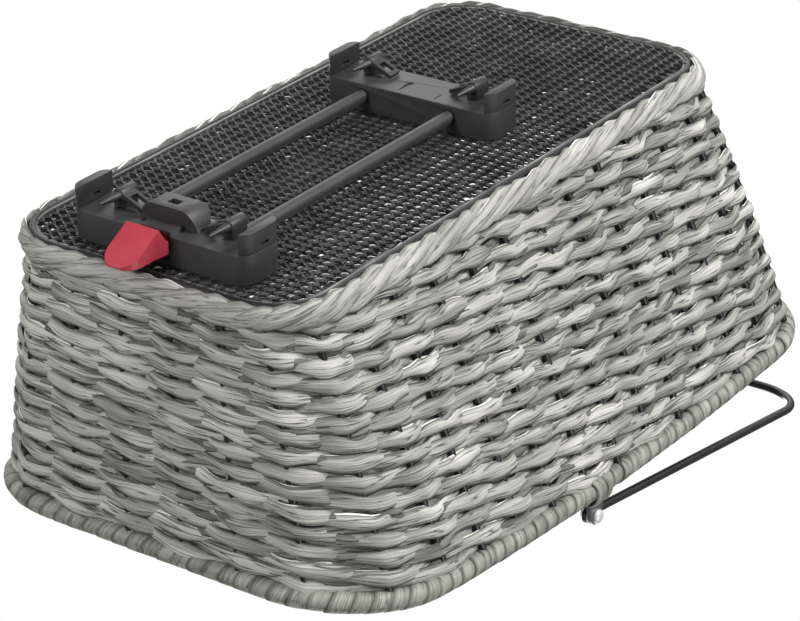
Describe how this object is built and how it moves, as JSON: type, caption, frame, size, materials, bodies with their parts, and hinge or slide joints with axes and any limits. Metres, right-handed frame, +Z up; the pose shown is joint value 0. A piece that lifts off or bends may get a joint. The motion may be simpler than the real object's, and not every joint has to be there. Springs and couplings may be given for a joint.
{
  "type": "bicycle basket",
  "caption": "Long woven bicycle basket with a metal mesh floor, a swinging wire handle, and a clip-on rear rack adapter with hooks, end lugs and a release lever.",
  "frame": {"origin": "under the middle of the whole object, on the surface that the four end lugs stand on", "axes": "+X towards the release lever, +Z up out of the basket's mouth, +Y to the left when looking along +X"},
  "size_m": [0.5532, 0.3056, 0.3023],
  "materials": {
    "weave": "dyed grey willow strip, dry and fibrous",
    "cane_wrap": "grey-green flat cane, satin",
    "mesh_steel": "black lacquered expanded metal",
    "black_wire": "black satin lacquer",
    "dark_steel": "dark grey plated sheet",
    "black_plastic": "fine moulded grain",
    "red_plastic": "smooth moulded, slightly satin",
    "zinc": "bright zinc plated"
  },
  "bodies": {
    "root": {"base_panel": "mesh_steel", "wire_frame": "black_wire", "woven_wall": "weave", "base_border": "weave", "rim_wrap": "cane_wrap", "front_bar": "black_plastic", "rear_bar": "black_plastic", "bar_rod_left": "black_plastic", "bar_rod_right": "black_plastic", "backing_plate_front": "black_plastic", "backing_plate_rear": "black_plastic", "end_lug_front_left": "black_plastic", "end_lug_front_right": "black_plastic", "end_lug_rear_left": "black_plastic", "end_lug_rear_right": "black_plastic", "rack_hook_front_left": "black_plastic", "rack_hook_front_right": "black_plastic", "rack_hook_rear_left": "black_plastic", "rack_hook_rear_right": "black_plastic", "bar_screw_front_left": "zinc", "bar_screw_front_right": "zinc", "bar_screw_rear_left": "zinc", "bar_screw_rear_right": "zinc", "lever_pin": "zinc", "lever_spring": "zinc", "handle_tab_left": "dark_steel", "handle_tab_right": "dark_steel", "rim_binding_left": "cane_wrap", "rim_binding_right": "cane_wrap", "handle_rivet_left": "zinc", "handle_rivet_right": "zinc", "handle_washer_left": "zinc", "handle_washer_right": "zinc"},
    "handle": {"handle_bail": "black_wire"},
    "lever": {"release_lever": "red_plastic"}
  },
  "joints": [
    {"name": "handle_swing", "type": "hinge", "parent": "root", "child": "handle", "pos_m": [0.0227, 0, 0.24758], "axis": [0, 1, 0], "range_deg": [-10, 178]},
    {"name": "lever_tilt", "type": "hinge", "parent": "root", "child": "lever", "pos_m": [0.2207, 0, 0.014], "axis": [0, -1, 0], "range_deg": [0, 10], "stiffness_Nm_per_rad": 1.5, "springref_deg": -6.88, "deforming": ["lever_spring"]}
  ]
}
